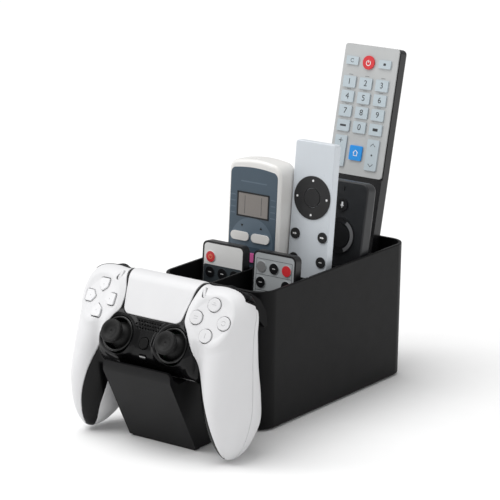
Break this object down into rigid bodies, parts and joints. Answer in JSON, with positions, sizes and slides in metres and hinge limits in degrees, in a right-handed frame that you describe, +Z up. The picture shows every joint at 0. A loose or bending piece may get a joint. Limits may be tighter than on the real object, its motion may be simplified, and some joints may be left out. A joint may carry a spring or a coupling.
{
  "type": "controller stand organiser",
  "caption": "Desk caddy with remote controls standing in its compartments and a two-grip wireless game controller resting on a sloping stand at its front",
  "frame": {"origin": "centre of the organiser's base, on the ground", "axes": "+Z up, the stand and controller face -Y, +X to the right seen from the front of the stand looking along +Y"},
  "size_m": [0.1622, 0.3313, 0.2696],
  "materials": {
    "organiser_plastic": "moulded black plastic, satin",
    "divider_plastic": "moulded black plastic, satin",
    "stand_plastic": "moulded black plastic, satin",
    "screw_steel": "zinc-plated steel",
    "pad_rubber": "soft rubber sheet",
    "cover_white": "fine-textured white plastic",
    "touchpad_white": "finely textured white plastic",
    "trim_black": "polished black plastic",
    "button_white": "smooth white plastic, grey marks",
    "button_black": "smooth black plastic",
    "shoulder_black": "satin black plastic",
    "stick_rubber": "soft black rubber",
    "gimbal_plastic": "natural acetal",
    "module_metal": "pressed steel can",
    "board_green": "solder mask on glass-fibre",
    "frame_black": "moulded black plastic",
    "cell_wrap": "shrink-wrapped cell",
    "socket_black": "moulded black plastic",
    "mini_case_left": "black plastic",
    "mini_face_left": "printed film over dome keys",
    "mini_case_right": "black plastic",
    "mini_face_right": "printed film over dome keys",
    "ac_case_white": "white plastic",
    "ac_fascia_grey": "slate-grey plastic",
    "ac_lcd": "liquid crystal display",
    "ac_rubber": "soft keys",
    "slim_case_white": "white plastic",
    "slim_ring_black": "satin black plastic",
    "slim_keys_grey": "soft keys",
    "voice_case_black": "satin black plastic",
    "voice_keys_grey": "soft keys",
    "tall_case_black": "satin black plastic",
    "tall_plate_silver": "silver-painted plate",
    "tall_keys_grey": "soft keys"
  },
  "bodies": {
    "organiser": {"organiser_box": "organiser_plastic", "front_divider": "divider_plastic", "middle_divider": "divider_plastic", "rear_divider": "divider_plastic", "centre_divider": "divider_plastic", "controller_stand": "stand_plastic", "stand_screws": "screw_steel", "base_pads": "pad_rubber"},
    "controller": {"front_cover": "cover_white", "centre_trim": "trim_black", "back_cover": "cover_white", "mid_frame": "frame_black", "main_board": "board_green", "battery": "cell_wrap", "rumble_motors": "module_metal", "speaker": "socket_black", "usb_port": "module_metal", "headset_jack": "socket_black", "case_screws": "screw_steel", "trigger_pins": "screw_steel", "stick_modules": "module_metal", "stick_rings": "trim_black"},
    "touchpad": {"touchpad": "touchpad_white"},
    "dpad_up": {"dpad_up": "button_white"},
    "dpad_left": {"dpad_left": "button_white"},
    "dpad_down": {"dpad_down": "button_white"},
    "dpad_right": {"dpad_right": "button_white"},
    "face_button_top": {"face_button_top": "button_white"},
    "face_button_left": {"face_button_left": "button_white"},
    "face_button_bottom": {"face_button_bottom": "button_white"},
    "face_button_right": {"face_button_right": "button_white"},
    "create_button": {"create_button": "button_white"},
    "options_button": {"options_button": "button_white"},
    "home_button": {"home_button": "button_black"},
    "mute_button": {"mute_button": "button_black"},
    "left_bumper": {"left_bumper": "shoulder_black"},
    "left_trigger": {"left_trigger": "shoulder_black"},
    "left_gimbal": {"left_gimbal": "gimbal_plastic"},
    "left_stick": {"left_stick": "stick_rubber"},
    "right_bumper": {"right_bumper": "shoulder_black"},
    "right_trigger": {"right_trigger": "shoulder_black"},
    "right_gimbal": {"right_gimbal": "gimbal_plastic"},
    "right_stick": {"right_stick": "stick_rubber"},
    "mini_remote_left": {"mini_remote_left_case": "mini_case_left", "mini_remote_left_overlay": "mini_face_left"},
    "mini_remote_right": {"mini_remote_right_case": "mini_case_right", "mini_remote_right_overlay": "mini_face_right"},
    "ac_remote": {"ac_remote_case": "ac_case_white", "ac_remote_fascia": "ac_fascia_grey", "ac_remote_screen": "ac_lcd", "ac_remote_keys": "ac_rubber"},
    "slim_remote": {"slim_remote_case": "slim_case_white", "slim_remote_ring": "slim_ring_black", "slim_remote_keys": "slim_keys_grey"},
    "voice_remote": {"voice_remote_case": "voice_case_black", "voice_remote_keys": "voice_keys_grey"},
    "tall_remote": {"tall_remote_case": "tall_case_black", "tall_remote_plate": "tall_plate_silver", "tall_remote_keys": "tall_keys_grey"}
  },
  "joints": [
    {"name": "controller_lift", "type": "slide", "parent": "organiser", "child": "controller", "axis": [0, 0, 1], "range_m": [0, 0.13]},
    {"name": "touchpad_click", "type": "hinge", "parent": "controller", "child": "touchpad", "pos_m": [0, -0.15114, 0.13147], "axis": [1, 0, 0], "range_deg": [0, 1], "stiffness_Nm_per_rad": 5},
    {"name": "dpad_up_press", "type": "slide", "parent": "controller", "child": "dpad_up", "axis": [0.1045, 0.8748, -0.473], "range_m": [0, 0.0009], "stiffness_N_per_m": 1500},
    {"name": "dpad_left_press", "type": "slide", "parent": "controller", "child": "dpad_left", "axis": [0.1045, 0.8748, -0.473], "range_m": [0, 0.0009], "stiffness_N_per_m": 1500},
    {"name": "dpad_down_press", "type": "slide", "parent": "controller", "child": "dpad_down", "axis": [0.1045, 0.8748, -0.473], "range_m": [0, 0.0009], "stiffness_N_per_m": 1500},
    {"name": "dpad_right_press", "type": "slide", "parent": "controller", "child": "dpad_right", "axis": [0.1045, 0.8748, -0.473], "range_m": [0, 0.0009], "stiffness_N_per_m": 1500},
    {"name": "face_button_top_press", "type": "slide", "parent": "controller", "child": "face_button_top", "axis": [-0.1045, 0.8748, -0.473], "range_m": [0, 0.0009], "stiffness_N_per_m": 1500},
    {"name": "face_button_left_press", "type": "slide", "parent": "controller", "child": "face_button_left", "axis": [-0.1045, 0.8748, -0.473], "range_m": [0, 0.0009], "stiffness_N_per_m": 1500},
    {"name": "face_button_bottom_press", "type": "slide", "parent": "controller", "child": "face_button_bottom", "axis": [-0.1045, 0.8748, -0.473], "range_m": [0, 0.0009], "stiffness_N_per_m": 1500},
    {"name": "face_button_right_press", "type": "slide", "parent": "controller", "child": "face_button_right", "axis": [-0.1045, 0.8748, -0.473], "range_m": [0, 0.0009], "stiffness_N_per_m": 1500},
    {"name": "create_button_press", "type": "slide", "parent": "controller", "child": "create_button", "axis": [0, 0.8796, -0.4756], "range_m": [0, 0.0005], "stiffness_N_per_m": 1500},
    {"name": "options_button_press", "type": "slide", "parent": "controller", "child": "options_button", "axis": [0, 0.8796, -0.4756], "range_m": [0, 0.0005], "stiffness_N_per_m": 1500},
    {"name": "home_button_press", "type": "slide", "parent": "controller", "child": "home_button", "axis": [0, 0.8796, -0.4756], "range_m": [0, 0.0004], "stiffness_N_per_m": 1500},
    {"name": "mute_button_press", "type": "slide", "parent": "controller", "child": "mute_button", "axis": [0, 0.9901, 0.1404], "range_m": [0, 0.0003], "stiffness_N_per_m": 1500},
    {"name": "left_bumper_press", "type": "hinge", "parent": "controller", "child": "left_bumper", "pos_m": [-0.039, -0.14642, 0.12653], "axis": [0, -0.8796, 0.4756], "range_deg": [0, 2], "stiffness_Nm_per_rad": 2.5},
    {"name": "left_trigger_pull", "type": "hinge", "parent": "controller", "child": "left_trigger", "pos_m": [-0.052, -0.14027, 0.11582], "axis": [1, 0, 0], "range_deg": [-16, 0], "stiffness_Nm_per_rad": 0.3, "springref_deg": 5.73},
    {"name": "left_stick_up_down", "type": "hinge", "parent": "controller", "child": "left_gimbal", "pos_m": [-0.0265, -0.17527, 0.08473], "axis": [1, 0, 0], "range_deg": [-15, 15], "stiffness_Nm_per_rad": 0.15},
    {"name": "left_stick_left_right", "type": "hinge", "parent": "left_gimbal", "child": "left_stick", "pos_m": [-0.0265, -0.17527, 0.08473], "axis": [0, 0.4756, 0.8796], "range_deg": [-15, 15], "stiffness_Nm_per_rad": 0.15},
    {"name": "right_bumper_press", "type": "hinge", "parent": "controller", "child": "right_bumper", "pos_m": [0.039, -0.14642, 0.12653], "axis": [0, -0.8796, 0.4756], "range_deg": [-2, 0], "stiffness_Nm_per_rad": 2.5},
    {"name": "right_trigger_pull", "type": "hinge", "parent": "controller", "child": "right_trigger", "pos_m": [0.052, -0.14027, 0.11582], "axis": [1, 0, 0], "range_deg": [-16, 0], "stiffness_Nm_per_rad": 0.3, "springref_deg": 5.73},
    {"name": "right_stick_up_down", "type": "hinge", "parent": "controller", "child": "right_gimbal", "pos_m": [0.0265, -0.17527, 0.08473], "axis": [1, 0, 0], "range_deg": [-15, 15], "stiffness_Nm_per_rad": 0.15},
    {"name": "right_stick_left_right", "type": "hinge", "parent": "right_gimbal", "child": "right_stick", "pos_m": [0.0265, -0.17527, 0.08473], "axis": [0, 0.4756, 0.8796], "range_deg": [-15, 15], "stiffness_Nm_per_rad": 0.15},
    {"name": "mini_remote_left_lift", "type": "slide", "parent": "organiser", "child": "mini_remote_left", "axis": [0, 0.0872, 0.9962], "range_m": [0, 0.12]},
    {"name": "mini_remote_right_lift", "type": "slide", "parent": "organiser", "child": "mini_remote_right", "axis": [0, 0.0872, 0.9962], "range_m": [0, 0.12]},
    {"name": "ac_remote_lift", "type": "slide", "parent": "organiser", "child": "ac_remote", "axis": [0, 0.0698, 0.9976], "range_m": [0, 0.12]},
    {"name": "slim_remote_lift", "type": "slide", "parent": "organiser", "child": "slim_remote", "axis": [0, 0.1167, 0.9932], "range_m": [0, 0.12]},
    {"name": "voice_remote_lift", "type": "slide", "parent": "organiser", "child": "voice_remote", "axis": [0, 0.1908, 0.9816], "range_m": [0, 0.12]},
    {"name": "tall_remote_lift", "type": "slide", "parent": "organiser", "child": "tall_remote", "axis": [0, 0.2368, 0.9715], "range_m": [0, 0.12]}
  ]
}
